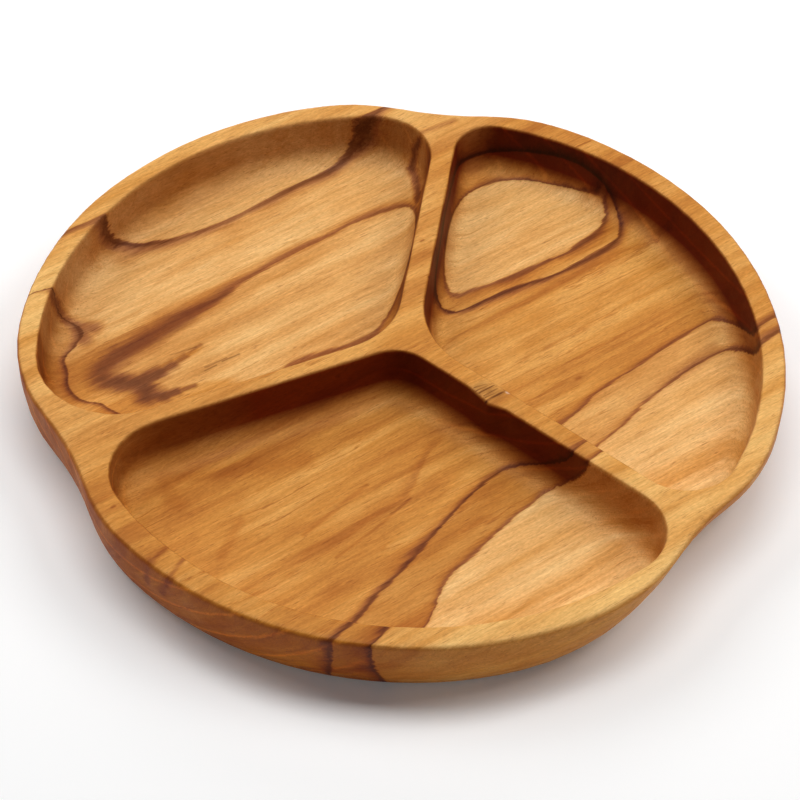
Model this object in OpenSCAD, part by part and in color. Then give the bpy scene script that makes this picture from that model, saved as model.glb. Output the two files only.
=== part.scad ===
// Divided serving plate with three compartments, carved by hand from one plank of teak.
// Lengths are in millimetres and angles in degrees, anticlockwise from +X as seen from above.
// The origin is on the table under the middle of the plate, and the front compartment lies towards -Y.

/* [Rim outline] */
// Radius of the three lobes of the rim
lobe_radius = 133; // [128:0.5:140]
// Right lobe's centre, to the right of the origin
right_lobe_x = 4.5; // [2:0.5:8]
// Right lobe's centre, behind the origin
right_lobe_y = 2.5; // [0:0.5:6]
// Left lobe's centre, to the right of the origin
left_lobe_x = -8.5; // [-10:0.5:-4]
// Left lobe's centre, behind the origin
left_lobe_y = 1.5; // [0:0.5:6]
// Front lobe's centre, to the right of the origin
front_lobe_x = 3.5; // [-2:0.5:5]
// Front lobe's centre, behind the origin
front_lobe_y = -4; // [-6:0.5:-1]
// Radius of the shoulders between a lobe and a notch
shoulder_radius = 72; // [40:1:75]
// Radius of the hollow notch in the rim at each divider's end
notch_radius = 128; // [60:1:180]
// Direction of the rear notch
rear_notch_angle = 90; // [86:0.5:94]
// Direction of the left notch
left_notch_angle = 211; // [207:0.5:215]
// Direction of the right notch
right_notch_angle = 328.5; // [326:0.5:331]
// How far the bottom of the rear notch lies inside the lobe radius
rear_notch_depth = 2.5; // [1:0.5:6]
// How far the bottom of the left notch lies inside the lobe radius
left_notch_depth = 4.5; // [4:0.5:8]
// How far the bottom of the right notch lies inside the lobe radius
right_notch_depth = 2; // [0:0.5:3.5]
// How much deeper the rear notch is at the base than at the rim
rear_notch_undercut = 3; // [0:0.5:8]
// How much deeper the left notch is at the base than at the rim
left_notch_undercut = 0.5; // [0:0.5:8]
// How much deeper the right notch is at the base than at the rim
right_notch_undercut = 8; // [0:0.5:9]

/* [Outer wall] */
// Height of the plate
height = 30; // [27:0.5:40]
// How far the edge of the flat base lies inside the rim
base_inset = 10; // [6:0.5:20]
// How far the base lies to the right of the rim's middle
base_x = -2; // [-3:0.5:3]
// How far the base lies behind the rim's middle
base_y = 1; // [-3:0.5:3]
// Rounding of the rim's outer edge
rim_round = 2; // [1:0.1:3]

/* [Dividers] */
// Hub where the dividers meet, to the right of the origin
hub_x = -1; // [-5:0.5:5]
// Hub where the dividers meet, behind the origin
hub_y = 7; // [0:0.5:9]
// Direction of the rear divider
rear_divider_angle = 88; // [84:0.5:94]
// Direction of the left divider
left_divider_angle = 210.5; // [206:0.5:215]
// Direction of the right divider
right_divider_angle = 326; // [322:0.5:328]
// Width of the rear divider
rear_divider_width = 9.6; // [7:0.1:13]
// Width of the left divider
left_divider_width = 7.6; // [6:0.1:12]
// Width of the right divider
right_divider_width = 8.6; // [7:0.1:13]

/* [Compartments] */
// Depth of the compartments below the rim
depth = 20; // [14:0.5:22]
// Width of the rim beside the right compartment
right_rim_width = 9.5; // [7:0.1:14]
// Width of the rim beside the left compartment
left_rim_width = 9; // [7:0.1:14]
// Width of the rim beside the front compartment
front_rim_width = 10.4; // [9:0.1:14]
// How far the front compartment lies to the right of the front lobe
front_offset = 1; // [-2:0.5:2]
// Lean of the compartment walls from upright
wall_lean = 5; // [1:0.5:8]
// Fillet between the compartment walls and the floor
floor_fillet = 9; // [5:0.5:10]
// Rounding of the edges of the compartments
edge_round = 1.5; // [0.5:0.1:2]
// Corner of the right compartment at the hub
right_hub_radius = 36; // [16:0.5:40]
// Corner of the left compartment at the hub
left_hub_radius = 29; // [16:0.5:40]
// Corner of the front compartment at the hub
front_hub_radius = 15; // [14:0.5:40]
// Corner of the right compartment between the right divider and the rim
right_front_corner = 19; // [14:0.5:30]
// Corner of the right compartment between the rear divider and the rim
right_rear_corner = 14; // [14:0.5:30]
// Corner of the left compartment between the rear divider and the rim
left_rear_corner = 21; // [14:0.5:30]
// Corner of the left compartment between the left divider and the rim
left_front_corner = 29.5; // [14:0.5:32]
// Corner of the front compartment between the left divider and the rim
front_left_corner = 24; // [14:0.5:30]
// Corner of the front compartment between the right divider and the rim
front_right_corner = 20; // [16:0.5:30]

/* [Hidden] */

teak = [0.72, 0.47, 0.22];
lobe_steps = 20;
shoulder_steps = 6;
notch_steps = 5;
corner_steps = 8;
wall_steps = 8;
round_steps = 3;
fillet_steps = 6;
// The compartments are cut from this far above the rim
cut_above = 2;

right_lobe = [right_lobe_x, right_lobe_y];
left_lobe = [left_lobe_x, left_lobe_y];
front_lobe = [front_lobe_x, front_lobe_y];
hub = [hub_x, hub_y];

// Each notch: its direction, its depth, its undercut, and the lobes that it lies between
notches = [
    [rear_notch_angle, rear_notch_depth, rear_notch_undercut, right_lobe, left_lobe],
    [left_notch_angle, left_notch_depth, left_notch_undercut, left_lobe, front_lobe],
    [right_notch_angle, right_notch_depth, right_notch_undercut, front_lobe, right_lobe]
];

// Each divider: its direction and half its width
rear_divider = [rear_divider_angle, rear_divider_width / 2];
left_divider = [left_divider_angle, left_divider_width / 2];
right_divider = [right_divider_angle, right_divider_width / 2];

function unit(angle) = [cos(angle), sin(angle)];
function bearing(v) = atan2(v.y, v.x);

// The same direction as angle, written so that it is reached by turning anticlockwise or clockwise from start
function turn_left(start, angle) = start + (angle - start + 1080) % 360;
function turn_right(start, angle) = start - (start - angle + 1080) % 360;

// Point at distance r1 from c1 and r2 from c2, to the left (side 1) or right (side -1) of the way from c1 to c2
function circles_meet(c1, r1, c2, r2, side) =
    let (gap = norm(c2 - c1),
         ahead = (c2 - c1) / gap,
         along = (gap * gap + r1 * r1 - r2 * r2) / (2 * gap),
         across = sqrt(r1 * r1 - along * along))
    c1 + along * ahead + side * across * [-ahead.y, ahead.x];

// An outline is a list of arcs that follow each other anticlockwise. Each arc holds its centre, radius, first
// and last direction, number of steps, and 1 where it bulges out of the shape or -1 where it is hollow.
// An arc of one step with equal directions is the start of a straight side.
function arc_point(arc, i, inset) =
    arc[0] + (arc[1] - arc[5] * inset) * unit(arc[2] + (arc[3] - arc[2]) * i / arc[4]);
function ring(arcs, inset, z) = [
    for (arc = arcs)
        for (i = [0 : arc[4] - 1])
            let (p = arc_point(arc, i, inset)) [p.x, p.y, z]
];

// Outline of the outer wall, where sink is 0 at the rim and 1 at the base
function notch_centre(n, sink) = (lobe_radius - n[1] - sink * n[2] + notch_radius) * unit(n[0]);
function shoulder_centre(n, sink, lobe, side) =
    circles_meet(lobe, lobe_radius - shoulder_radius,
        notch_centre(n, sink), shoulder_radius + notch_radius, side);
function notch_and_lobe(n, next, sink) =
    let (before = shoulder_centre(n, sink, n[3], -1),
         after = shoulder_centre(n, sink, n[4], 1),
         end = shoulder_centre(next, sink, n[4], -1),
         middle = notch_centre(n, sink),
         a = bearing(before - n[3]),
         b = turn_left(a, bearing(middle - before)),
         c = turn_right(b + 180, bearing(after - middle)),
         d = turn_left(c - 180, bearing(after - n[4])),
         e = turn_left(d, bearing(end - n[4])))
    [
        [before, shoulder_radius, a, b, shoulder_steps, 1],
        [middle, notch_radius, b + 180, c, notch_steps, -1],
        [after, shoulder_radius, c - 180, d, shoulder_steps, 1],
        [n[4], lobe_radius, d, e, lobe_steps, 1]
    ];
function outer_outline(sink) = [for (k = [0 : 2]) each notch_and_lobe(notches[k], notches[(k + 1) % 3], sink)];

// Outline of a compartment between two dividers, the first clockwise of it and the second anticlockwise
function hub_corner(first, second, radius) =
    let (n0 = unit(first[0] + 90),
         n1 = unit(second[0] - 90),
         d0 = first[1] + radius,
         d1 = second[1] + radius)
    hub + [d0 * n1.y - d1 * n0.y, d1 * n0.x - d0 * n1.x] / (n0.x * n1.y - n0.y * n1.x);
function rim_corner(divider, side, lobe, reach, radius) =
    let (ahead = unit(divider[0]),
         start = hub + (divider[1] + radius) * unit(divider[0] + side * 90) - lobe,
         back = start * ahead)
    lobe + start + (sqrt(back * back - start * start + pow(reach - radius, 2)) - back) * ahead;
function compartment_outline(lobe, rim_width, first, second, hub_radius, first_corner, second_corner) =
    let (reach = lobe_radius - rim_width,
         inner = hub_corner(first, second, hub_radius),
         c0 = rim_corner(first, 1, lobe, reach, first_corner),
         c1 = rim_corner(second, -1, lobe, reach, second_corner),
         a = first[0] - 90,
         b = turn_left(a, bearing(c0 - lobe)),
         c = turn_left(b, bearing(c1 - lobe)),
         d = turn_left(c, second[0] + 90),
         e = turn_left(d, a))
    [
        [c0, first_corner, a, b, corner_steps, 1],
        [lobe, reach, b, c, lobe_steps, 1],
        [c1, second_corner, c, d, corner_steps, 1],
        [c1, second_corner, d, d, 1, 1],
        [inner, hub_radius, d, e, corner_steps, 1],
        [inner, hub_radius, e, e, 1, 1]
    ];

// Profile of the outer wall from the base up, as pairs of inset and height: a quarter of an ellipse, then the
// rim's rounded edge
wall_height = height - rim_round;
outer_profile = concat(
    [for (i = [0 : wall_steps])
        let (t = 90 * (1 - i / wall_steps)) [base_inset * (1 - cos(t)), wall_height * (1 - sin(t))]],
    [for (i = [1 : round_steps])
        let (t = 90 * i / round_steps) [rim_round * (1 - cos(t)), wall_height + rim_round * sin(t)]]
);

// Profile of a compartment's wall from the floor up: the fillet, the leaning wall and the rounded edge
fillet_foot = depth - floor_fillet * (1 - sin(wall_lean));
fillet_inset = (fillet_foot - edge_round) * tan(wall_lean) + floor_fillet * cos(wall_lean);
floor_z = height - depth;
compartment_profile = concat(
    [for (i = [0 : fillet_steps])
        let (t = 90 + (wall_lean - 90) * i / fillet_steps)
        [fillet_inset - floor_fillet * cos(t), floor_z + floor_fillet * (1 - sin(t))]],
    [for (i = [0 : round_steps])
        let (t = 90 * i / round_steps)
        [-edge_round * (1 - cos(t)), height - edge_round * (1 - sin(t))]],
    [[-edge_round, height + cut_above]]
);

right_outline = compartment_outline(right_lobe, right_rim_width, right_divider, rear_divider,
    right_hub_radius, right_front_corner, right_rear_corner);
left_outline = compartment_outline(left_lobe, left_rim_width, rear_divider, left_divider,
    left_hub_radius, left_rear_corner, left_front_corner);
front_outline = compartment_outline(front_lobe + [front_offset, 0], front_rim_width,
    left_divider, right_divider, front_hub_radius, front_left_corner, front_right_corner);

function middle(points) = [for (p = points) 1] * points / len(points);

// Solid between rings of points, closed by a flat face at its bottom and at its top
module loft(rings) {
    count = len(rings[0]);
    top = len(rings) - 1;
    bottom_middle = (top + 1) * count;
    top_middle = bottom_middle + 1;
    polyhedron(
        points = concat([for (r = rings) each r], [middle(rings[0]), middle(rings[top])]),
        faces = [for (i = [0 : count - 1]) let (j = (i + 1) % count) each concat(
            [for (k = [0 : top - 1]) [k * count + i, (k + 1) * count + i, (k + 1) * count + j, k * count + j]],
            [[bottom_middle, i, j], [top_middle, top * count + j, top * count + i]]
        )]
    );
}

module outer_form() {
    loft([for (p = outer_profile)
        let (sink = max(0, 1 - p[1] / wall_height))
        [for (q = ring(outer_outline(sink), p[0], p[1])) q + sink * sink * [base_x, base_y, 0]]]);
}

module compartment(outline) {
    loft([for (p = compartment_profile) ring(outline, p[0], p[1])]);
}

module plate() {
    color(teak)
        difference() {
            outer_form();
            compartment(right_outline);
            compartment(left_outline);
            compartment(front_outline);
        }
}

plate();
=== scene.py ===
import math

import bpy
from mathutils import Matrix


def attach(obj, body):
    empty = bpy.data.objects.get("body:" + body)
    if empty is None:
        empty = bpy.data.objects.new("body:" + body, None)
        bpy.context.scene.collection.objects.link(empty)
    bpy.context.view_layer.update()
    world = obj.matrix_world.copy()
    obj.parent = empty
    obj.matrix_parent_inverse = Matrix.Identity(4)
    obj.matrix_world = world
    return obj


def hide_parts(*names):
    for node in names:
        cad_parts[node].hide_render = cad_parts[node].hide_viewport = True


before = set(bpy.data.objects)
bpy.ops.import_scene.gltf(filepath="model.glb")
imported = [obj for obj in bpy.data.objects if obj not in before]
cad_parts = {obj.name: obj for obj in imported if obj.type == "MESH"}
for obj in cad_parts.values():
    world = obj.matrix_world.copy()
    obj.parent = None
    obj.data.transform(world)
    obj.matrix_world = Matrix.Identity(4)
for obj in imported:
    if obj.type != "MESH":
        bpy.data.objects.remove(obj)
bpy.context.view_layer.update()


# Plate. It is carved out of one thick plank of teak: three compartments are hollowed out around a hub, and
# the outer wall is cut to follow them. Every edge is then eased by sanding, and the wood is rubbed with
# oil. Sizes are in metres, and places and widths in the plank are in millimetres.
weld = 0.00001
voxel = 0.0009
smoothing = 0.5
kept_share = 0.42

bpy.ops.object.select_all(action="DESELECT")
plate = bpy.data.objects.new("carved_plate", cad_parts["plate"].data.copy())
bpy.context.collection.objects.link(plate)
bpy.context.view_layer.objects.active = plate
plate.select_set(True)
bpy.ops.object.mode_set(mode="EDIT")
bpy.ops.mesh.select_all(action="SELECT")
bpy.ops.mesh.remove_doubles(threshold=weld)
bpy.ops.mesh.normals_make_consistent(inside=False)
bpy.ops.object.mode_set(mode="OBJECT")


def apply_modifier(kind, **settings):
    """Adds a modifier with its settings to the plate and applies it."""
    bpy.ops.object.modifier_add(type=kind)
    modifier = plate.modifiers[-1]
    for name, value in settings.items():
        setattr(modifier, name, value)
    bpy.ops.object.modifier_apply(modifier=modifier.name)


def share_of(value, start, end):
    """How far a value has gone from start to end, from 0 to 1."""
    return min(max((value - start) / (end - start), 0.0), 1.0)


apply_modifier("REMESH", mode="VOXEL", voxel_size=voxel)
apply_modifier("SMOOTH", factor=smoothing, iterations=1)

# The gouge leaves the walls and floors a little uneven, always inwards. The planed base stays flat.
carving_wave = 0.035
carving_depth = 0.0006
flat_up_to, carved_from = 0.001, 0.006
hand_carving = bpy.data.textures.new("hand_carving", "CLOUDS")
hand_carving.noise_scale = carving_wave
above_base = plate.vertex_groups.new(name="above_base")
for vertex in plate.data.vertices:
    above_base.add([vertex.index], share_of(vertex.co.z, flat_up_to, carved_from), "REPLACE")
apply_modifier("DISPLACE", texture=hand_carving, vertex_group="above_base", mid_level=1.0,
               strength=carving_depth)

# On the right divider's front edge the grain tore, and the gouge left the wood about 2 mm proud there.
# Places along the divider are from the hub outwards, and places forward are from the divider's middle line.
hub_x, hub_y = -0.001, 0.007
divider_turn = math.radians(326)
proud_by = 0.0018
proud_start, proud_full, proud_ebb, proud_end = 0.033, 0.044, 0.044, 0.050
proud_back, proud_edge, proud_front = 0.001, 0.004, 0.012
proud_low, proud_high = 0.014, 0.026
proud_place = plate.vertex_groups.new(name="proud_place")
for vertex in plate.data.vertices:
    from_hub_x, from_hub_y = vertex.co.x - hub_x, vertex.co.y - hub_y
    along = from_hub_x * math.cos(divider_turn) + from_hub_y * math.sin(divider_turn)
    forward = from_hub_x * math.sin(divider_turn) - from_hub_y * math.cos(divider_turn)
    if proud_back < forward < proud_front and proud_start < along < proud_end:
        lengthwise = min(share_of(along, proud_start, proud_full), share_of(along, proud_end, proud_ebb))
        crosswise = share_of(forward, proud_back, proud_edge)
        upwards = share_of(vertex.co.z, proud_low, proud_high)
        proud_place.add([vertex.index], lengthwise * crosswise * upwards, "REPLACE")
for direction, share in (("X", math.sin(divider_turn)), ("Y", -math.cos(divider_turn))):
    apply_modifier("DISPLACE", vertex_group="proud_place", direction=direction, mid_level=0.0,
                   strength=proud_by * share)
apply_modifier("DECIMATE", ratio=kept_share)
bpy.ops.object.shade_smooth()

# Oiled teak, flat-sawn, sanded with the grain. To the eye it is golden brown, with dark growth lines that
# are sharp on one side and fade on the other, pale and orange streaks, and pores as short dark dashes.
teak = bpy.data.materials.new("oiled_teak")
teak.use_nodes = True
teak.node_tree.nodes.clear()


def linear(hex_code):
    """Linear colour of an sRGB hex code."""
    channels = [int(hex_code[i:i + 2], 16) / 255 for i in (1, 3, 5)]
    return [c / 12.92 if c <= 0.04045 else ((c + 0.055) / 1.055) ** 2.4 for c in channels] + [1.0]


def add_node(material, kind, inputs, points=(), stops=(), **settings):
    """Adds a node with its settings, points or stops and links, and gives its first output."""
    node = material.node_tree.nodes.new("ShaderNode" + kind)
    for name, value in settings.items():
        setattr(node, name, value)
    for i, (x, y) in enumerate(points):
        curve = node.mapping.curves[0].points
        point = curve[i] if i < 2 else curve.new(x, y)
        point.location = (x, y)
    if points:
        node.mapping.update()
    for i, (place, hex_code) in enumerate(stops):
        element = node.color_ramp.elements[i] if i < 2 else node.color_ramp.elements.new(place)
        element.position = place
        element.color = linear(hex_code)
    for name, value in inputs.items():
        if isinstance(value, bpy.types.NodeSocket):
            material.node_tree.links.new(value, node.inputs[name])
        else:
            node.inputs[name].default_value = value
    return next(s for s in node.outputs if s.enabled)


# Position in the plank in millimetres: t along the grain, which runs 42 degrees from +X, s across it
# towards the rear left, and z up. Slow waves and fibres, both drawn out along the grain, bend the lines.
grain_turn = math.radians(42)
millimetres = (1000, 1000, 1000)
wave_size, wave_stretch, wave_sway = 16.0, 0.3, 2.5
fibre_size, fibre_stretch, fibre_sway = 1.6, 0.08, 3.0
position = add_node(teak, "TexCoord", {}).node.outputs["Object"]
plank = add_node(teak, "Mapping", {"Vector": position, "Rotation": (0, 0, -grain_turn), "Scale": millimetres})
long_waves = add_node(teak, "Mapping", {"Vector": plank, "Scale": (wave_stretch, 1, 1)})
slow = add_node(teak, "TexNoise", {"Vector": long_waves, "Scale": 1 / wave_size, "Detail": 2.0})
slow = add_node(teak, "Math", {0: slow, 1: wave_sway, 2: -wave_sway / 2}, operation="MULTIPLY_ADD")
fibres = add_node(teak, "Mapping", {"Vector": plank, "Scale": (fibre_stretch, 1, 1)})
fibre = add_node(teak, "TexNoise", {"Vector": fibres, "Scale": 1 / fibre_size, "Detail": 3.0,
                                    "Roughness": 0.6})
sway = add_node(teak, "Math", {0: fibre, 1: fibre_sway, 2: slow}, operation="MULTIPLY_ADD")
sway = add_node(teak, "Math", {0: sway, 1: fibre_sway / 2}, operation="SUBTRACT")
t, straight_s, z = add_node(teak, "SeparateXYZ", {"Vector": plank}).node.outputs
s = add_node(teak, "Math", {0: straight_s, 1: sway}, operation="ADD")

# How far a face turns away from lying flat, from 0 on the floors to 1 on the walls, how far it turns across
# the grain, and how far it looks away from the middle of the plate, as the outer wall does.
flat_face, wall_face = 0.92, 0.3
outward_from, outward_full = 0.3, 0.6
outer_from, outer_full = 0.090, 0.105
facing = add_node(teak, "NewGeometry", {}).node.outputs["Normal"]
upright = add_node(teak, "SeparateXYZ", {"Vector": facing}).node.outputs["Z"]
upright = add_node(teak, "Math", {0: upright}, operation="ABSOLUTE")
wall = add_node(teak, "MapRange", {"Value": upright, "From Min": flat_face, "From Max": wall_face})
along_grain = (math.cos(grain_turn), math.sin(grain_turn), 0)
end_grain = add_node(teak, "VectorMath", {0: facing, 1: along_grain}, operation="DOT_PRODUCT")
end_grain = add_node(teak, "Math", {0: end_grain}, operation="ABSOLUTE")
from_middle = add_node(teak, "VectorMath", {0: position, 1: (1, 1, 0)}, operation="MULTIPLY")
outwards = add_node(teak, "VectorMath", {0: from_middle}, operation="NORMALIZE")
outwards = add_node(teak, "VectorMath", {0: outwards, 1: facing}, operation="DOT_PRODUCT")
outwards = add_node(teak, "MapRange", {"Value": outwards, "From Min": outward_from, "From Max": outward_full})
far_out = add_node(teak, "VectorMath", {0: from_middle}, operation="LENGTH")
far_out = add_node(teak, "MapRange", {"Value": far_out, "From Min": outer_from, "From Max": outer_full})
outer = add_node(teak, "Math", {0: outwards, 1: far_out}, operation="MULTIPLY")
inner = add_node(teak, "Math", {0: 1.0, 1: outer}, operation="SUBTRACT")
# The inner walls, which get painted shade further down.
painted_wall_shade = add_node(teak, "Math", {0: inner, 1: wall}, operation="MULTIPLY")

# Tracks are drawn on a span of 300 mm each way, from -150 to 150, and fades on a span of 30 mm.
span = 300.0
fade_span = 30.0
t_share = add_node(teak, "MapRange", {"Value": t, "From Min": -span / 2, "From Max": span / 2})
s_share = add_node(teak, "MapRange", {"Value": s, "From Min": -span / 2, "From Max": span / 2})


def shares(track):
    """Places of a track in millimetres as shares of the span."""
    return [(a / span + 0.5, b / span + 0.5) for a, b in track]


def steps_along(steps, full=1.0):
    """Values at places in millimetres as points of a curve over the span, as shares of the full value."""
    return [(a / span + 0.5, b / full) for a, b in steps]


# The rings lean: a line lies further back on the floors, where drop is 1, than on the rim, where it is 0.
rim_height, floor_height = 30.0, 10.0
most_drop = 1.3
drop = add_node(teak, "MapRange", {"Value": z, "From Min": rim_height, "From Max": floor_height}, clamp=False)
drop = add_node(teak, "Math", {0: drop, 1: 2.0}, operation="POWER")
drop = add_node(teak, "Math", {0: drop, 1: most_drop}, operation="MINIMUM")

# Lines are thicker in some places than in others, and where a wall cuts their layer at a flat angle.
thick_size = 9.0
thin_noise, thick_noise = 0.35, 0.65
thinnest, thickest = 0.6, 1.5
thicker_on_walls = 0.4
thick = add_node(teak, "TexNoise", {"Vector": long_waves, "Scale": 1 / thick_size, "Detail": 1.0})
thick = add_node(teak, "MapRange", {"Value": thick, "From Min": thin_noise, "From Max": thick_noise,
                                    "To Min": thinnest, "To Max": thickest})
thick = add_node(teak, "Math", {0: wall, 1: thicker_on_walls, 2: thick}, operation="MULTIPLY_ADD")

# Across a line the wood is darkest just behind its sharp side, and clears over the length of its fade.
line_profile = [(0.0, 0.0), (0.10, 0.04), (0.19, 0.85), (0.25, 1.0), (0.33, 0.80), (0.45, 0.48), (0.65, 0.20),
                (1.0, 0.0)]
before_line = 0.25


def growth_line(off, length, force):
    """Darkness at a distance behind a line's sharp side, from the length of its fade and its strength."""
    off = add_node(teak, "Math", {0: off, 1: length}, operation="DIVIDE")
    off = add_node(teak, "MapRange", {"Value": off, "From Min": -before_line * fade_span,
                                      "From Max": fade_span})
    line = add_node(teak, "FloatCurve", {"Value": off}, points=line_profile)
    return add_node(teak, "Math", {0: line, 1: force}, operation="MULTIPLY")


# Each steep growth line: its track on the rim, its track on the floors, its strength along the grain, the
# side on which it fades (1 is the rear left), and the length of its fade along the grain.
rear_track = [(-150, 128), (-62, 122.5), (-46, 121), (-37, 118), (-24, 114), (-7, 111.5), (11, 112),
              (26, 113), (45, 112), (56, 113.5), (63, 112), (70, 112.5), (150, 118)]
steep_lines = {
    "front_pair_rear": (
        [(-150, -104), (-97, -94.5), (-92, -93.5), (-40, -85), (22, -73), (70, -68), (116, -63.5),
         (150, -60)],
        [(-150, -104), (-97, -92), (-75, -79), (-52, -70.5), (-35, -64.5), (-18, -58.5), (-6, -54.5),
         (4, -53), (20, -49.5), (39, -46.5), (60, -42), (88, -39.5), (111, -37.5), (150, -36)],
        [(-150, 0.95), (-60, 0.9), (10, 0.9), (40, 0.7), (150, 0.85)], 1,
        [(-150, 6), (-60, 7), (0, 7), (30, 5), (80, 5), (150, 7)]),
    "front_pair_front": (
        [(-150, -118), (-86, -103), (-82, -101.5), (-30, -92), (26, -79.5), (70, -74.5), (112, -70.5),
         (150, -66)],
        [(-150, -118), (-86, -104), (-57, -93.5), (-48, -87), (-40, -82.5), (-29, -79.5), (-13, -75),
         (8, -70.5), (25, -65.5), (45, -62), (55, -60), (67, -56.5), (83, -54), (104, -52), (112, -52.5),
         (150, -53)],
        [(-150, 0.9), (-70, 0.9), (-50, 0.7), (20, 0.65), (60, 0.6), (80, 0.75), (150, 0.9)], 1,
        [(-150, 7), (-60, 5), (-40, 4), (20, 4), (45, 4.5), (70, 5.5), (105, 6.5), (150, 8)]),
    "rear": (
        rear_track, rear_track,
        [(-150, 0.8), (-58, 0.8), (-48, 1), (-36, 1), (-20, 0.75), (5, 0.75), (45, 1), (60, 1), (150, 0.7)],
        -1,
        [(-150, 5), (-60, 5), (-48, 10), (-38, 9), (-20, 7), (10, 8), (45, 8), (60, 8), (70, 5), (150, 5)]),
    "faint": (
        [(-150, -66), (-60, -62), (0, -44), (60, -38), (150, -38)],
        [(-150, -56), (-60, -47.5), (-47, -45), (-36, -44.5), (-27, -41.5), (-19, -36), (-7, -29.5),
         (60, -26), (150, -26)],
        [(-150, 0), (-80, 0), (-55, 0.22), (-10, 0.32), (5, 0), (150, 0)], 1, [(-150, 11), (150, 11)]),
}
side_blur = 1.2
behind = {}
shade = None
for name, (rim_track, floor_track, strength, fade_side, fade) in steep_lines.items():
    rim_place = add_node(teak, "FloatCurve", {"Value": t_share}, points=shares(rim_track))
    floor_place = add_node(teak, "FloatCurve", {"Value": t_share}, points=shares(floor_track))
    place = add_node(teak, "Mix", {"Factor": drop, "A": rim_place, "B": floor_place}, clamp_factor=False)
    off = add_node(teak, "Math", {0: s_share, 1: place}, operation="SUBTRACT")
    off = add_node(teak, "Math", {0: off, 1: fade_side * span}, operation="MULTIPLY")
    if name.startswith("front_pair"):
        behind[name] = add_node(teak, "MapRange", {"Value": off, "From Min": -side_blur,
                                                   "From Max": side_blur})
    length = add_node(teak, "FloatCurve", {"Value": t_share}, points=steps_along(fade, fade_span))
    length = add_node(teak, "Math", {0: length, 1: thick}, operation="MULTIPLY")
    force = add_node(teak, "FloatCurve", {"Value": t_share}, points=steps_along(strength))
    line = growth_line(off, length, force)
    shade = add_node(teak, "Math", {0: shade, 1: line}, operation="MAXIMUM") if shade else line

# Two flat growth layers swell up under the floors like islands. Each has its near and far track on the
# floor, its height over the floor in the middle, its strength and its fade along the grain. The long one's
# wood is pale. The round one shows only in the right compartment.
islands = {
    "long": (
        [(-150, 20), (-60, 24), (-40, 30), (-31, 33.5), (-27, 35), (-3, 31), (20, 31), (44, 29), (60, 26.5),
         (80, 24.5), (99, 24.5), (110, 26), (114, 28.5), (118, 31), (122, 37), (150, 37)],
        [(-150, 68), (-95, 68), (-84, 68.5), (-79, 69.5), (-65, 70.5), (-58, 72), (-49, 74), (-36, 75),
         (-28, 76.5), (-20, 79), (-5, 80.5), (14, 81), (42, 81.5), (54, 79), (70, 74), (84, 71), (97, 68.5),
         (104, 64.5), (109, 58.5), (113, 53.5), (117, 46.5), (122, 38), (150, 38)],
        5,
        [(-150, 0), (-92, 0), (-84, 0.4), (-60, 0.5), (-20, 0.65), (40, 0.7), (90, 0.85), (120, 0.85),
         (123, 0), (150, 0)],
        [(-150, 25), (-80, 25), (-50, 21), (-20, 12), (20, 8), (60, 7), (150, 7)]),
    "round": (
        [(-150, 24), (30, 24), (43, 21), (52, 20.5), (65, 19.5), (78, 17), (92, 16.5), (104, 16.5), (109, 17),
         (113, 18), (117, 21.5), (121, 26), (125, 34), (150, 60)],
        [(-150, 90), (40, 92), (81, 92), (100, 90), (125, 80), (150, 70)],
        13,
        [(-150, 0.9), (128, 0.9), (132, 0), (150, 0)],
        [(-150, 8), (150, 8)]),
}
island_blur = 1.5
right_from, right_full = -0.001, 0.003
right_side = add_node(teak, "SeparateXYZ", {"Vector": position})
right_side = add_node(teak, "MapRange", {"Value": right_side, "From Min": right_from, "From Max": right_full})
for name, (near_track, far_track, swell, strength, fade) in islands.items():
    near_place = add_node(teak, "FloatCurve", {"Value": t_share}, points=shares(near_track))
    far_place = add_node(teak, "FloatCurve", {"Value": t_share}, points=shares(far_track))
    across = add_node(teak, "MapRange", {"Value": s_share, "From Min": near_place, "From Max": far_place,
                                         "To Min": -1.0, "To Max": 1.0}, clamp=False)
    across = add_node(teak, "Math", {0: across, 1: across}, operation="MULTIPLY")
    half = add_node(teak, "Math", {0: far_place, 1: near_place}, operation="SUBTRACT")
    half = add_node(teak, "Math", {0: half, 1: span / 4}, operation="MULTIPLY")
    above = add_node(teak, "Math", {0: z, 1: floor_height}, operation="SUBTRACT")
    above = add_node(teak, "Math", {0: above, 1: 1 / swell, 2: -1.0}, operation="MULTIPLY_ADD")
    off = add_node(teak, "Math", {0: above, 1: across}, operation="ADD")
    off = add_node(teak, "Math", {0: off, 1: half}, operation="MULTIPLY")
    force = add_node(teak, "FloatCurve", {"Value": t_share}, points=steps_along(strength))
    if name == "round":
        force = add_node(teak, "Math", {0: force, 1: right_side}, operation="MULTIPLY")
    else:
        in_long = add_node(teak, "MapRange", {"Value": off, "From Min": island_blur,
                                              "From Max": -island_blur})
        in_long = add_node(teak, "Math", {0: in_long, 1: force}, operation="MULTIPLY")
    length = add_node(teak, "FloatCurve", {"Value": t_share}, points=steps_along(fade, fade_span))
    length = add_node(teak, "Math", {0: length, 1: thick}, operation="MULTIPLY")
    line = growth_line(off, length, force)
    shade = add_node(teak, "Math", {0: shade, 1: line}, operation="MAXIMUM")

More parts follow.
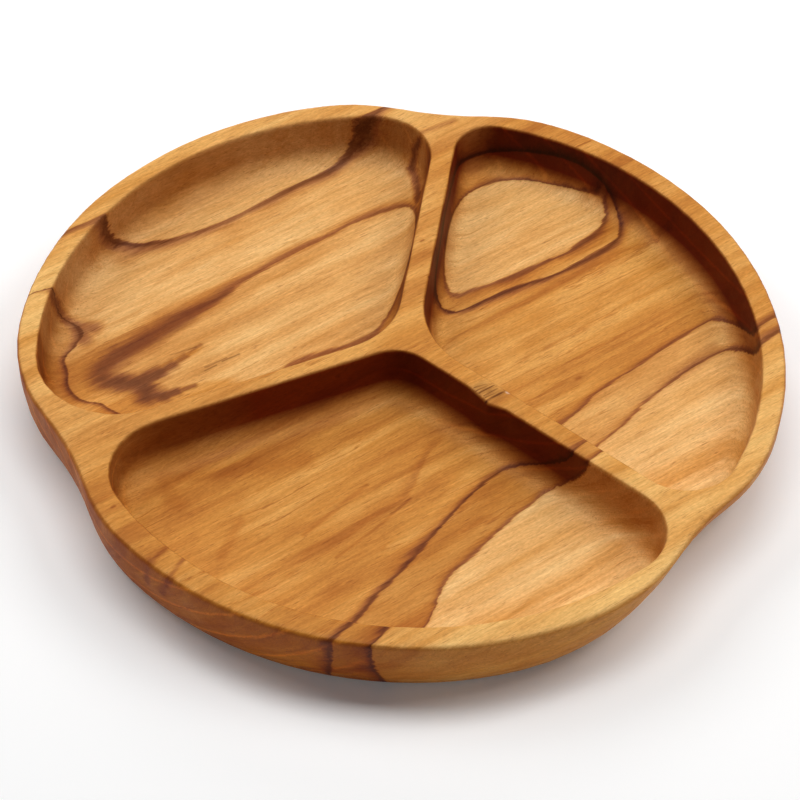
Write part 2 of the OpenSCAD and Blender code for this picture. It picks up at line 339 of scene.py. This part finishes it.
# At its left end the pale wood of the long island breaks up into flames along the grain. A track gives
# where it starts, for each place across the plank, and single fibres shift that by a few millimetres.
flame_low, flame_high = 40.0, 84.0
flame_left, flame_right = -110.0, -40.0
flame_feather = 5.0
before_edge, past_edge = -1.5, 4.0
pale_start = [(40, -50), (44, -56), (46.5, -64), (47.5, -69), (49, -77.5), (50.5, -77), (53, -73.5),
              (55.5, -70.5), (57.5, -64), (59.5, -50), (60.5, -60), (61, -76), (63, -81), (67, -84.5),
              (69, -84), (72, -84), (84, -84)]
smooth_s = add_node(teak, "Math", {0: straight_s, 1: slow}, operation="ADD")
flame_share = add_node(teak, "MapRange", {"Value": smooth_s, "From Min": flame_low, "From Max": flame_high})
edge = add_node(teak, "FloatCurve", {"Value": flame_share}, points=[
    (share_of(a, flame_low, flame_high), share_of(b, flame_left, flame_right)) for a, b in pale_start])
edge = add_node(teak, "MapRange", {"Value": edge, "To Min": flame_left, "To Max": flame_right})
feather = add_node(teak, "Math", {0: fibre, 1: flame_feather, 2: -flame_feather / 2},
                   operation="MULTIPLY_ADD")
feathered = add_node(teak, "Math", {0: t, 1: feather}, operation="ADD")
past_flames = add_node(teak, "Math", {0: feathered, 1: edge}, operation="SUBTRACT")
past_flames = add_node(teak, "MapRange", {"Value": past_flames, "From Min": before_edge,
                                          "From Max": past_edge})
in_long = add_node(teak, "Math", {0: in_long, 1: past_flames}, operation="MULTIPLY")

# The last line runs across the grain, round the left end of the long island. Its track, its fade and its
# strength are given at places across the plank.
cross_track = [(-150, -88), (40, -90), (48.5, -92), (53, -94), (57, -95), (60, -98), (63, -100),
               (71.5, -100), (75, -98), (79, -96), (82.5, -95), (85, -92), (86.5, -89), (88.5, -85),
               (90.5, -82), (93.5, -81), (96.5, -82), (98, -84), (100, -87), (101.5, -93), (104, -110),
               (150, -140)]
cross_fade = [(-150, 5), (60, 5), (84, 7), (90, 13), (95, 10), (100, 7), (150, 6)]
cross_strength = [(-150, 0), (44, 0), (50, 0.85), (84, 0.9), (90, 1), (150, 0.9)]
place = add_node(teak, "FloatCurve", {"Value": s_share}, points=shares(cross_track))
off = add_node(teak, "Math", {0: t_share, 1: place}, operation="SUBTRACT")
off = add_node(teak, "Math", {0: off, 1: -span}, operation="MULTIPLY")
length = add_node(teak, "FloatCurve", {"Value": s_share}, points=steps_along(cross_fade, fade_span))
force = add_node(teak, "FloatCurve", {"Value": s_share}, points=steps_along(cross_strength))
line = growth_line(off, length, force)
shade = add_node(teak, "Math", {0: shade, 1: line}, operation="MAXIMUM")

# Marks of the plank, and one band of painted shade, each from one place to another in t, s and z, with its
# width and its strength. Dark marks are the streak on the rear divider's left wall, the smudges by the cross
# line, a painted shade band along the foot of the front compartment's rear left wall, faint streaks on the
# front floor, thin checks on the rim and pin knots. Purple marks are the stained wood that bends round the
# long island's left end and runs out into two flames, and a smudge by the front pair. Torn marks are long
# open pores on the long island and the torn grain on the right divider's top, with one pale chip beside it.
marks = {
    "dark": [
        ((73.5, 92, 26), (72, 94, 20), 2.8, 0.85), ((72, 94, 20), (70, 93, 13), 3.4, 0.85),
        ((70, 93, 13), (66, 84, 12), 3.2, 0.8), ((66, 84, 12), (61, 76, 12), 3.0, 0.8),
        ((74, 92, 30), (88, 90.5, 30), 2.6, 0.4),
        ((-89, 98.5, 28), (-86, 99.5, 19), 4.2, 0.7), ((-86, 99.5, 19), (-85.5, 98.5, 14), 4.8, 0.7),
        ((-85.5, 98.5, 14), (-81.5, 95, 10.5), 5, 0.7), ((-81.5, 95, 10.5), (-77, 91, 10), 6, 0.55),
        ((-81, 94, 10), (-83, 88, 10), 6, 0.6),
        ((117, 51.5, 30), (124.5, 51, 30), 0.7, 0.6),
        # Painted shade: these two strokes are a band along the foot of the front compartment's rear left
        # wall.
        ((-96, 12.5, 10), (-80, 4.5, 10), 5, 0.22), ((-80, 4.5, 10), (-50, -7.5, 10), 6, 0.25),
        ((-96, 12, 10), (-99, 0, 10), 6, 0.22), ((-85, -19.5, 10), (-99, -29, 10), 3, 0.22),
        ((-38.5, -30.5, 10), (-70, -37, 10), 1.6, 0.3),
        ((-29.5, -44.5, 10), (-47.5, -49, 10), 1.0, 0.45), ((-47.5, -49, 10), (-66.5, -52, 10), 1.0, 0.4),
        ((-121, -29.5, 30), (-128.5, -31.5, 30), 1.5, 0.5), ((-128.5, -31.5, 30), (-130, -30, 18), 2.6, 0.5),
        ((-118.5, -37, 30), (-127.5, -41, 30), 1.8, 0.5), ((-127.5, -41, 29), (-128.5, -37, 18), 3.0, 0.5),
        ((-126.5, -3.6, 30), (-125.5, -3.6, 30), 1.0, 0.6), ((55, -32, 10), (56, -32, 10), 1.6, 0.35),
        ((38, 43, 30), (39, 43, 30), 1.0, 0.6), ((29.5, 26.5, 29), (30.5, 26.5, 29), 1.0, 0.6),
    ],
    "purple": [
        ((-26, 79, 10), (-45, 77, 10), 4.0, 0.5), ((-45, 77, 10), (-62, 75.5, 10), 7, 0.64),
        ((-62, 75.5, 10), (-76, 74.5, 10), 8.5, 0.68), ((-76, 74.5, 10), (-85, 71.5, 10), 9.5, 0.7),
        ((-85, 71.5, 10), (-88, 67, 10), 9, 0.74), ((-88, 67, 10), (-84, 62, 10), 8.5, 0.8),
        ((-84, 62, 10), (-78.5, 57.5, 10), 8, 0.86), ((-78.5, 57.5, 10), (-77.5, 53, 10), 8, 0.9),
        ((-77.5, 53, 10), (-79.5, 50, 10), 7, 0.86), ((-79.5, 50, 10), (-74, 47, 10), 5, 0.84),
        ((-74, 47, 10), (-69, 46, 10), 3.2, 0.8), ((-69, 46, 10), (-62, 45, 10), 1.8, 0.6),
        ((-78, 58, 10), (-69, 58, 10), 6, 0.85), ((-69, 58, 10), (-63, 58.5, 10), 4.2, 0.7),
        ((-63, 58.5, 10), (-57, 59.5, 10), 2.6, 0.55), ((-57, 59.5, 10), (-49, 61, 10), 1.3, 0.4),
        ((70, -53.5, 10), (88, -51, 10), 4.0, 0.2), ((88, -51, 10), (106, -48.5, 10), 4.6, 0.3),
    ],
    "torn": [
        ((-61, 63, 10), (-51, 61, 10), 0.6, 0.5), ((-54, 50.5, 10), (-45, 50, 10), 0.6, 0.7),
        ((-47, 49.5, 10), (-40, 49, 10), 0.6, 0.7), ((-55, 49, 10), (-50, 49, 10), 0.6, 0.8),
        ((9.5, -29, 30), (14, -30, 30), 0.6, 1.0), ((9, -30.5, 29.5), (13.5, -31, 30), 0.5, 0.8),
        ((9.5, -32, 29.5), (17, -32, 30), 0.6, 1.0), ((10, -34, 29.5), (17, -34, 30), 0.5, 1.0),
        ((10, -35, 29.5), (15, -35.5, 30), 0.5, 0.8), ((9, -36.5, 29), (17, -36.5, 30), 0.8, 1.0),
        ((18, -36, 30), (18.5, -36.5, 30), 1.1, 1.0), ((12, -30.5, 30), (13.5, -35.5, 30), 5, 0.4),
    ],
    "chip": [((18, -37.5, 30), (19, -38, 30), 1.1, 0.8)],
}
mark_clear, mark_full = 1.6, 0.55
drawn = {}
for kind, strokes in marks.items():
    for start, end, width, strength in strokes:
        reach = [b - a for a, b in zip(start, end)]
        share = [r / sum(r * r for r in reach) for r in reach]
        away = add_node(teak, "VectorMath", {0: plank, 1: start}, operation="SUBTRACT")
        along = add_node(teak, "VectorMath", {0: away, 1: share}, operation="DOT_PRODUCT")
        along = add_node(teak, "Math", {0: along, 1: 0.0}, operation="MAXIMUM")
        along = add_node(teak, "Math", {0: along, 1: 1.0}, operation="MINIMUM")
        nearest = add_node(teak, "VectorMath", {0: reach, "Scale": along}, operation="SCALE")
        off = add_node(teak, "VectorMath", {0: away, 1: nearest}, operation="DISTANCE")
        off = add_node(teak, "Math", {0: off, 1: 1 / width, 2: fibre}, operation="MULTIPLY_ADD")
        mark = add_node(teak, "MapRange", {"Value": off, "From Min": mark_clear, "From Max": mark_full,
                                           "To Max": strength}, interpolation_type="SMOOTHSTEP", clamp=False)
        if kind in drawn:
            mark = add_node(teak, "Math", {0: drawn[kind], 1: mark}, operation="MAXIMUM")
        drawn[kind] = mark
stain_share = 0.85
stain_shade = add_node(teak, "Math", {0: drawn["purple"], 1: stain_share}, operation="MULTIPLY")
for dark in (drawn["dark"], stain_shade):
    shade = add_node(teak, "Math", {0: shade, 1: dark}, operation="MAXIMUM")

# Heartwood is orange brown, and paler wood is golden. Broad streaks and clouds change the shade of both.
streak_size, streak_stretch = 9.0, 0.04
fine_size = 0.9
cloud_size, cloud_share = 14.0, 0.4
ring_lean, lean_from, lean_to = 22, -30, 40
upright_stretch = 0.2
lean = add_node(teak, "MapRange", {"Value": s, "From Min": lean_from, "From Max": lean_to,
                                   "To Min": -ring_lean, "To Max": 0})
ring = add_node(teak, "Math", {0: lean, 1: drop, 2: s}, operation="MULTIPLY_ADD")
low_z = add_node(teak, "Math", {0: z, 1: upright_stretch}, operation="MULTIPLY")
streaks = add_node(teak, "CombineXYZ", {"X": t, "Y": ring, "Z": low_z})
streaks = add_node(teak, "Mapping", {"Vector": streaks, "Scale": (streak_stretch, 1, 1)})
broad = add_node(teak, "TexNoise", {"Vector": streaks, "Scale": 1 / streak_size, "Detail": 3.0,
                                    "Roughness": 0.55})
fine = add_node(teak, "TexNoise", {"Vector": streaks, "Scale": 1 / fine_size, "Detail": 3.0,
                                   "Roughness": 0.65})
clouds = add_node(teak, "TexNoise", {"Vector": long_waves, "Scale": 1 / cloud_size, "Detail": 3.0,
                                     "Roughness": 0.6})
broad = add_node(teak, "Mix", {"Factor": cloud_share, "A": broad, "B": clouds})
body = add_node(teak, "ValToRGB", {"Fac": broad}, stops=[
    (0.38, "#BA7028"), (0.5, "#D38D3C"), (0.62, "#E2A252")])
golden = add_node(teak, "ValToRGB", {"Fac": broad}, stops=[
    (0.37, "#DA994C"), (0.5, "#EBB26B"), (0.63, "#F6C783")])

# Paler are the wood in front of the front pair, inside the long island and along the rear, the rim's top at
# the rear left, and the right half of the pair. On the rim's top this is paler wood and partly painted light
# on the top face. Each region has where it starts and where it is fully pale.
rear_start, rear_full = 78, 88
left_start, left_full, pale_at_left, pale_at_right = -95, -75, 0.5, 0.8
rim_start, rim_full = 28.5, 29.5
rim_rear_start, rim_rear_full = 10, 80
rim_left_start, rim_left_full = 70, 0
pair_start, pair_full, pale_in_pair = 10, 50, 0.5
front_pale = add_node(teak, "Math", {0: 1.0, 1: behind["front_pair_front"]}, operation="SUBTRACT")
rear_pale = add_node(teak, "MapRange", {"Value": s, "From Min": rear_start, "From Max": rear_full})
right_of_end = add_node(teak, "MapRange", {"Value": t, "From Min": left_start, "From Max": left_full,
                                           "To Min": pale_at_left, "To Max": pale_at_right})
rear_pale = add_node(teak, "Math", {0: rear_pale, 1: right_of_end}, operation="MULTIPLY")
on_rim = add_node(teak, "MapRange", {"Value": z, "From Min": rim_start, "From Max": rim_full})
# The rim's top is paler here: paler wood, and partly painted light on the top face.
rim_pale_and_lit = add_node(teak, "MapRange", {"Value": s, "From Min": rim_rear_start, "From Max": rim_rear_full})
rim_left = add_node(teak, "MapRange", {"Value": t, "From Min": rim_left_start, "From Max": rim_left_full})
for limit in (on_rim, rim_left):
    rim_pale_and_lit = add_node(teak, "Math", {0: rim_pale_and_lit, 1: limit}, operation="MULTIPLY")
between_pair = add_node(teak, "Math", {0: behind["front_pair_front"], 1: behind["front_pair_rear"]},
                        operation="SUBTRACT", use_clamp=True)
pair_pale = add_node(teak, "MapRange", {"Value": t, "From Min": pair_start, "From Max": pair_full,
                                        "To Max": pale_in_pair})
pair_pale = add_node(teak, "Math", {0: pair_pale, 1: between_pair}, operation="MULTIPLY")
pale = front_pale
for other in (in_long, pair_pale, rear_pale, rim_pale_and_lit):
    pale = add_node(teak, "Math", {0: pale, 1: other}, operation="MAXIMUM")
colour = add_node(teak, "Mix", {"Factor": pale, "A": body, "B": golden}, data_type="RGBA")

# The pale rim is more golden, and between the front pair the wood is browner in the front compartment.
golden_oil, brown_wood = linear("#FCF6E0"), linear("#DDC8A0")
brown_until, brown_end, brown_share = 0, 30, 0.5
pale_rim = add_node(teak, "Math", {0: on_rim, 1: pale}, operation="MULTIPLY")
colour = add_node(teak, "Mix", {"Factor": pale_rim, "A": colour, "B": golden_oil}, data_type="RGBA",
                  blend_type="MULTIPLY")
browner = add_node(teak, "MapRange", {"Value": t, "From Min": brown_until, "From Max": brown_end,
                                      "To Min": brown_share, "To Max": 0.0})
browner = add_node(teak, "Math", {0: browner, 1: between_pair}, operation="MULTIPLY", use_clamp=True)
colour = add_node(teak, "Mix", {"Factor": browner, "A": colour, "B": brown_wood}, data_type="RGBA",
                  blend_type="MULTIPLY")

# Thin faint growth lines come and go along the grain, and hardly show in the pale wood.
growth_gap, growth_sway = 9.0, 3.0
half_gap, growth_from = 0.5, 0.44
seldom_from, seldom_full = 0.42, 0.6
growth_strength, growth_in_pale = 0.38, 0.35
growth = add_node(teak, "Math", {0: ring, 1: 1 / growth_gap}, operation="MULTIPLY")
growth = add_node(teak, "Math", {0: broad, 1: growth_sway, 2: growth}, operation="MULTIPLY_ADD")
growth = add_node(teak, "Math", {0: growth, 1: half_gap}, operation="PINGPONG")
growth = add_node(teak, "MapRange", {"Value": growth, "From Min": growth_from, "From Max": half_gap,
                                     "To Max": growth_strength})
seldom = add_node(teak, "MapRange", {"Value": clouds, "From Min": seldom_from, "From Max": seldom_full})
in_heartwood = add_node(teak, "MapRange", {"Value": pale, "To Min": 1.0, "To Max": growth_in_pale})
for limit in (seldom, in_heartwood):
    growth = add_node(teak, "Math", {0: growth, 1: limit}, operation="MULTIPLY")
shade = add_node(teak, "Math", {0: shade, 1: growth}, operation="MAXIMUM")

# Fine streaks, hair streaks and sanding marks lighten and darken the wood, and dark fibre is redder. Real
# hair streaks and sanding marks are finer than these, which are drawn coarse enough to show.
noise_low, noise_high = 0.3, 0.7
fine_dark, fine_light = 0.89, 1.07
hair_size, hair_low, hair_high, hair_dark, hair_light = 0.35, 0.25, 0.75, 0.90, 1.10
grit_size, grit_stretch, grit_dark, grit_light = 0.6, 0.4, 0.93, 1.07
green_power, blue_power = 1.3, 1.8
hair = add_node(teak, "TexNoise", {"Vector": streaks, "Scale": 1 / hair_size, "Detail": 1.0})
grit = add_node(teak, "Mapping", {"Vector": plank, "Scale": (grit_stretch, 1, 1)})
grit = add_node(teak, "TexNoise", {"Vector": grit, "Scale": 1 / grit_size, "Detail": 1.0})
fine_shade = add_node(teak, "MapRange", {"Value": fine, "From Min": noise_low, "From Max": noise_high,
                                         "To Min": fine_dark, "To Max": fine_light})
hair_shade = add_node(teak, "MapRange", {"Value": hair, "From Min": hair_low, "From Max": hair_high,
                                         "To Min": hair_dark, "To Max": hair_light})
grit_shade = add_node(teak, "MapRange", {"Value": grit, "From Min": noise_low, "From Max": noise_high,
                                         "To Min": grit_dark, "To Max": grit_light})
tone = add_node(teak, "Math", {0: fine_shade, 1: hair_shade}, operation="MULTIPLY")
tone = add_node(teak, "Math", {0: tone, 1: grit_shade}, operation="MULTIPLY")
green_tone = add_node(teak, "Math", {0: tone, 1: green_power}, operation="POWER")
blue_tone = add_node(teak, "Math", {0: tone, 1: blue_power}, operation="POWER")
tone = add_node(teak, "CombineColor", {"Red": tone, "Green": green_tone, "Blue": blue_tone})
colour = add_node(teak, "Mix", {"Factor": 1.0, "A": colour, "B": tone}, data_type="RGBA",
                  blend_type="MULTIPLY")

# The growth lines darken the wood over orange brown to a purplish brown, and the stain turns it purple.
line_on_dark, line_on_light = 1.12, 0.86
stain_colour, stain_strength = linear("#7060A8"), 0.5
fibre_shade = add_node(teak, "MapRange", {"Value": fine, "From Min": noise_low, "From Max": noise_high,
                                          "To Min": line_on_dark, "To Max": line_on_light})
shade = add_node(teak, "Math", {0: shade, 1: fibre_shade}, operation="MULTIPLY")
tint = add_node(teak, "ValToRGB", {"Fac": shade}, stops=[
    (0.0, "#FFFFFF"), (0.22, "#F0E2CE"), (0.55, "#C4A6A2"), (1.0, "#815D4B")])
colour = add_node(teak, "Mix", {"Factor": 1.0, "A": colour, "B": tint}, data_type="RGBA",
                  blend_type="MULTIPLY")
purple = add_node(teak, "Math", {0: drawn["purple"], 1: stain_strength}, operation="MULTIPLY")
colour = add_node(teak, "Mix", {"Factor": purple, "A": colour, "B": stain_colour}, data_type="RGBA",
                  blend_type="MULTIPLY")

# Pores show as dark dashes, in some places more than in others. Real ones are finer: they are drawn 0.35 mm
# wide and 5 mm long, so that they show. Torn grain is darker than the pores.
pore_colour, torn_colour, chip_colour = linear("#A8703C"), linear("#8C7038"), linear("#EADCCB")
pore_size, pore_stretch, pore_strength = 0.35, 0.07, 0.5
few_from, many_from = 0.35, 0.65
few_pores, many_pores, full_pore = 0.69, 0.62, 0.74
pores = add_node(teak, "Mapping", {"Vector": plank, "Scale": (pore_stretch, 1, 1)})
pores = add_node(teak, "TexNoise", {"Vector": pores, "Scale": 1 / pore_size, "Detail": 1.0})
open_pores = add_node(teak, "MapRange", {"Value": clouds, "From Min": few_from, "From Max": many_from,
                                         "To Min": few_pores, "To Max": many_pores})
pores = add_node(teak, "MapRange", {"Value": pores, "From Min": open_pores, "From Max": full_pore})
pores = add_node(teak, "Math", {0: pores, 1: pore_strength}, operation="MULTIPLY")
colour = add_node(teak, "Mix", {"Factor": pores, "A": colour, "B": pore_colour}, data_type="RGBA",
                  blend_type="MULTIPLY")
colour = add_node(teak, "Mix", {"Factor": drawn["torn"], "A": colour, "B": torn_colour}, data_type="RGBA",
                  blend_type="MULTIPLY")
colour = add_node(teak, "Mix", {"Factor": drawn["chip"], "A": colour, "B": chip_colour}, data_type="RGBA")

# Walls that cut across the grain show the rings as thin light arcs. They drink more oil. The inner walls get
# painted shade: they turn a dark red brown, less in the pale wood and towards the left end. The outer wall is
# darker than the rim.
end_oil, wall_shade_colour = linear("#E0CCB0"), linear("#8A4406")
outer_oil, outer_pale_oil = linear("#F2D680"), linear("#E2C080")
ring_s, ring_z = -10.0, 105.0
ring_gap = 5.0
arc_from, arc_full, arc_strength, arc_in_pale = 0.80, 0.97, 0.42, 0.25
end_from, end_full = 0.35, 0.8
arc_s = add_node(teak, "Math", {0: s, 1: ring_s}, operation="SUBTRACT")
arc_z = add_node(teak, "Math", {0: z, 1: ring_z}, operation="SUBTRACT")
arc = add_node(teak, "CombineXYZ", {"X": arc_s, "Y": arc_z})
arc = add_node(teak, "VectorMath", {0: arc}, operation="LENGTH")
arc = add_node(teak, "Math", {0: arc, 1: 1 / ring_gap}, operation="MULTIPLY")
arc = add_node(teak, "Math", {0: arc, 1: 1.0}, operation="PINGPONG")
arc = add_node(teak, "MapRange", {"Value": arc, "From Min": arc_from, "From Max": arc_full, "To Min": 0.0,
                                  "To Max": arc_strength})
end_face = add_node(teak, "MapRange", {"Value": end_grain, "From Min": end_from, "From Max": end_full})
arc_force = add_node(teak, "MapRange", {"Value": pale, "To Min": 1.0, "To Max": arc_in_pale})
arc_force = add_node(teak, "Math", {0: arc_force, 1: end_face}, operation="MULTIPLY")
arc = add_node(teak, "Math", {0: arc, 1: arc_force, 2: 1.0}, operation="MULTIPLY_ADD")
colour = add_node(teak, "Mix", {"Factor": 1.0, "A": colour, "B": arc}, data_type="RGBA",
                  blend_type="MULTIPLY")
colour = add_node(teak, "Mix", {"Factor": end_face, "A": colour, "B": end_oil}, data_type="RGBA",
                  blend_type="MULTIPLY")
# Painted shade on the inner walls: a dark red brown, weaker in the pale wood and towards the left end.
wall_shade_in_pale, wall_shade_at_left = 0.2, 0.5
wall_shade_left, wall_shade_full = -115, -55
wall_shade_share = add_node(teak, "MapRange", {"Value": pale, "To Min": 1.0, "To Max": wall_shade_in_pale})
less_wall_shade_at_left = add_node(teak, "MapRange", {"Value": t, "From Min": wall_shade_left, "From Max": wall_shade_full,
                                       "To Min": wall_shade_at_left, "To Max": 1.0})
for limit in (wall_shade_share, less_wall_shade_at_left):
    painted_wall_shade = add_node(teak, "Math", {0: painted_wall_shade, 1: limit}, operation="MULTIPLY")
colour = add_node(teak, "Mix", {"Factor": painted_wall_shade, "A": colour, "B": wall_shade_colour}, data_type="RGBA",
                  blend_type="MULTIPLY")
outer_wall = add_node(teak, "Math", {0: outer, 1: wall}, operation="MULTIPLY")
outer_tint = add_node(teak, "Mix", {"Factor": pale, "A": outer_oil, "B": outer_pale_oil}, data_type="RGBA")
colour = add_node(teak, "Mix", {"Factor": outer_wall, "A": colour, "B": outer_tint}, data_type="RGBA",
                  blend_type="MULTIPLY")

# The oil leaves a satin surface, glossier in some places. Pores and torn grain lie a little deeper.
pore_depth, relief_share = 0.0002, 0.2
dullest, glossiest = 0.62, 0.48
oil_ior, oil_shine = 1.45, 0.2
height = fine
for deeper in (pores, drawn["torn"]):
    height = add_node(teak, "Math", {0: height, 1: deeper}, operation="SUBTRACT")
relief = add_node(teak, "Bump", {"Height": height, "Strength": relief_share, "Distance": pore_depth})
sheen = add_node(teak, "MapRange", {"Value": clouds, "From Min": noise_low, "From Max": noise_high,
                                    "To Min": dullest, "To Max": glossiest})
shader = add_node(teak, "BsdfPrincipled", {"Base Color": colour, "Normal": relief, "Roughness": sheen,
                                           "IOR": oil_ior, "Specular IOR Level": oil_shine})
surface = teak.node_tree.nodes.new("ShaderNodeOutputMaterial")
teak.node_tree.links.new(shader, surface.inputs["Surface"])

plate.data.materials.clear()
plate.data.materials.append(teak)
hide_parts("plate")
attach(plate, "root")


# Floor. A wide sweep of matt white paper that the plate stands on, which takes the soft shadow. It glows
# where the camera sees it, more with the distance, so that it ends in a white background.
sweep_size = 8.0
paper_white, paper_roughness = linear("#FFFFFF"), 0.9
glow_from, glow_full = 0.35, 1.4
near_glow, far_glow = 0.08, 0.9
bpy.ops.object.select_all(action="DESELECT")
bpy.ops.mesh.primitive_plane_add(size=sweep_size, location=(0, 0, 0))
sweep = bpy.context.active_object
sweep.name = "paper_sweep"
paper = bpy.data.materials.new("matt_white_paper")
paper.use_nodes = True
paper_shader = paper.node_tree.nodes["Principled BSDF"]
paper_shader.inputs["Base Color"].default_value = paper_white
paper_shader.inputs["Roughness"].default_value = paper_roughness
paper_shader.inputs["Specular IOR Level"].default_value = 0.0
paper_shader.inputs["Emission Color"].default_value = paper_white
rays = add_node(paper, "LightPath", {}).node.outputs
seen = add_node(paper, "Math", {0: rays["Is Camera Ray"], 1: rays["Is Glossy Ray"]}, operation="MAXIMUM")
seen = add_node(paper, "Math", {0: seen, 1: rays["Is Transmission Ray"]}, operation="MAXIMUM")
distance = add_node(paper, "TexCoord", {}).node.outputs["Object"]
distance = add_node(paper, "VectorMath", {0: distance}, operation="LENGTH")
glow = add_node(paper, "MapRange", {"Value": distance, "From Min": glow_from, "From Max": glow_full,
                                    "To Min": near_glow, "To Max": far_glow})
seen = add_node(paper, "Math", {0: seen, 1: glow}, operation="MULTIPLY")
paper.node_tree.links.new(seen, paper_shader.inputs["Emission Strength"])
sweep.data.materials.append(paper)


# Light. A white tent that is open to the front: soft boxes hang over the plate, to its right, to its left
# and low behind it, and the room is dim. Each box has its place, its size and its power in watts.
soft_boxes = [
    ((0.00, 0.18, 1.40), (0.9, 0.5), 8.6),
    ((0.846, 0.308, 1.072), (0.7, 0.7), 7.0),
    ((-0.93, 0.34, 0.99), (0.7, 0.7), 6.0),
    ((-0.10, 1.20, 0.70), (1.0, 0.5), 2.6),
]
room_light = 0.05
for place, size, power in soft_boxes:
    bpy.ops.object.light_add(type="AREA", location=place)
    box = bpy.context.active_object
    box.data.shape = "RECTANGLE"
    box.data.size, box.data.size_y = size
    box.data.energy = power
    box.rotation_euler = box.location.to_track_quat("Z", "Y").to_euler()
room = bpy.data.worlds.new("dim_room")
room.use_nodes = True
room.node_tree.nodes["Background"].inputs["Color"].default_value = linear("#FFFFFF")
room.node_tree.nodes["Background"].inputs["Strength"].default_value = room_light
bpy.context.scene.world = room


# Camera. It looks down on the plate from the front, at the photograph's angle, through a long lens. Its
# turn is in degrees, and its lens and sensor are in millimetres.
camera_place = (0.0728, -0.7763, 0.8339)
camera_turn = (43.193, -0.904, 6.434)
lens, sensor = 139.69, 36.0
bpy.ops.object.camera_add(location=camera_place, rotation=[math.radians(a) for a in camera_turn])
camera = bpy.context.active_object
camera.data.sensor_width = sensor
camera.data.lens = lens
bpy.context.scene.camera = camera
bpy.context.scene.view_settings.view_transform = "Standard"
